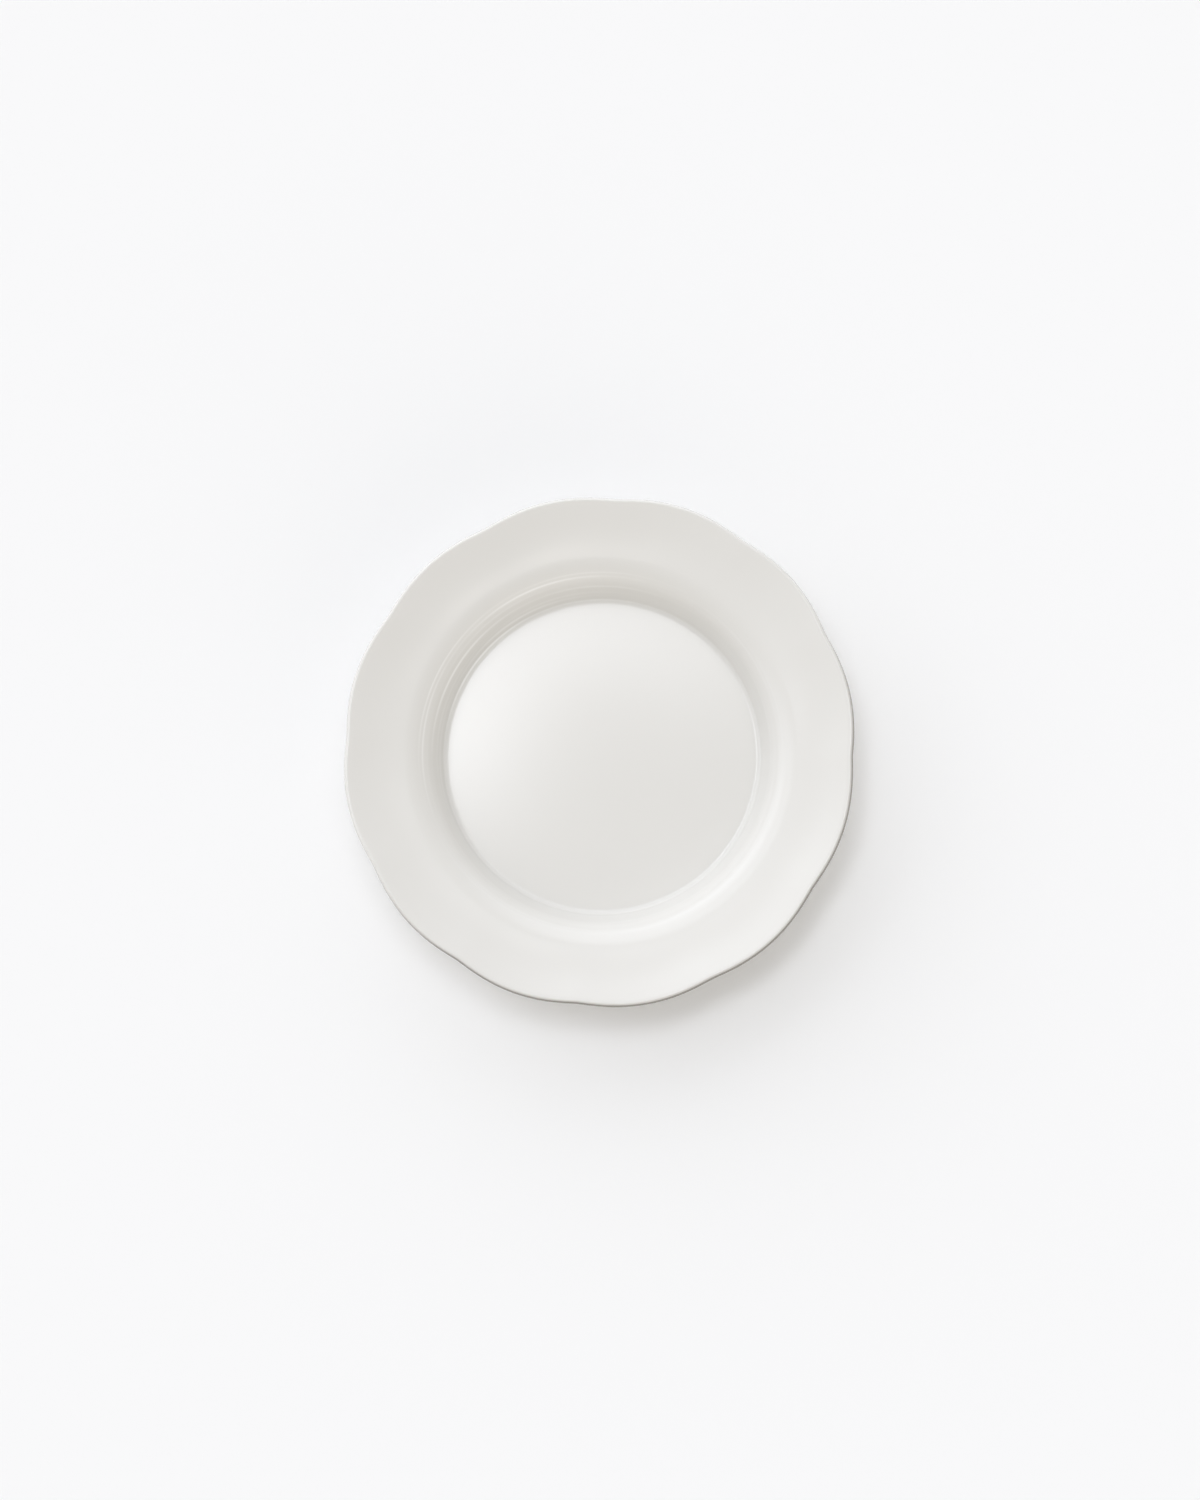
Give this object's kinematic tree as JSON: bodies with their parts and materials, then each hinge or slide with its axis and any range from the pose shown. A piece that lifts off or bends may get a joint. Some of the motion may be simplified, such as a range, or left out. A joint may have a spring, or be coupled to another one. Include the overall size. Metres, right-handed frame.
{
  "type": "soup plate",
  "caption": "Round white glazed ceramic soup plate with a deep, almost flat-bottomed well, a steep wall that rounds over into a broad rising rim with gentle scallops and a rounded lip, and a bare-edged foot ring.",
  "frame": {"origin": "centre of the foot ring's standing face, on the plate's axis", "axes": "+Z up out of the well; +X to the right and +Y up in the picture, which looks down the axis"},
  "size_m": [0.2372, 0.2388, 0.0362],
  "materials": {
    "biscuit": "matt fired clay",
    "bare_foot": "matt fired clay, wiped and ground",
    "glaze_white": "gloss warm white glaze",
    "glaze_base": "gloss warm white glaze"
  },
  "bodies": {
    "root": {"clay_body": "biscuit", "foot_ring": "bare_foot", "glaze_coat": "glaze_white", "base_glaze": "glaze_base"}
  },
  "joints": []
}
